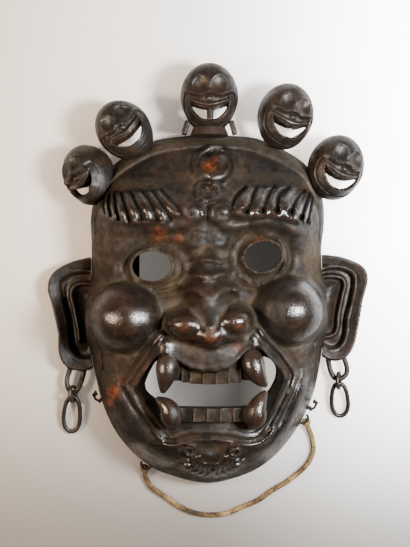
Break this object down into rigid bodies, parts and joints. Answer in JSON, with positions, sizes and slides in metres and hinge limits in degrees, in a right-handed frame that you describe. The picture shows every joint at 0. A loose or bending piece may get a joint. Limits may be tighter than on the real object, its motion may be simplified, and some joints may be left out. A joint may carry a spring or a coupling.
{
  "type": "carved wooden dance mask",
  "caption": "Hollow carved wooden mask of a wrathful face with round cheeks, fanged open mouth, skull crown, looped ears and a short tie cord.",
  "frame": {"origin": "on the surface it lies on, under the middle of the mask with its ears and skulls", "axes": "+X to the viewer's right across the face, +Y from the chin to the crown, +Z out of the face"},
  "size_m": [0.2834, 0.4005, 0.1078],
  "materials": {
    "carved_wood": "dark stained hardwood, waxed and handled to a gloss on the high parts, dusty in the cuts",
    "iron_wire": "blackened, lightly rusted iron wire",
    "cotton_cord": "laid cotton cord, soiled with age"
  },
  "bodies": {
    "root": {"mask_face": "carved_wood", "skull_centre": "carved_wood", "skull_left_inner": "carved_wood", "skull_left_outer": "carved_wood", "skull_right_inner": "carved_wood", "skull_right_outer": "carved_wood", "ear_left": "carved_wood", "ear_ring_left": "carved_wood", "ear_link_left": "carved_wood", "ear_right": "carved_wood", "ear_ring_right": "carved_wood", "ear_link_right": "carved_wood", "staple_left_jaw": "iron_wire", "staple_left_chin": "iron_wire", "staple_right_chin": "iron_wire", "staple_right_jaw": "iron_wire", "cord_knot_left": "cotton_cord", "cord_knot_right": "cotton_cord", "hanging_cord": "cotton_cord"}
  },
  "joints": []
}
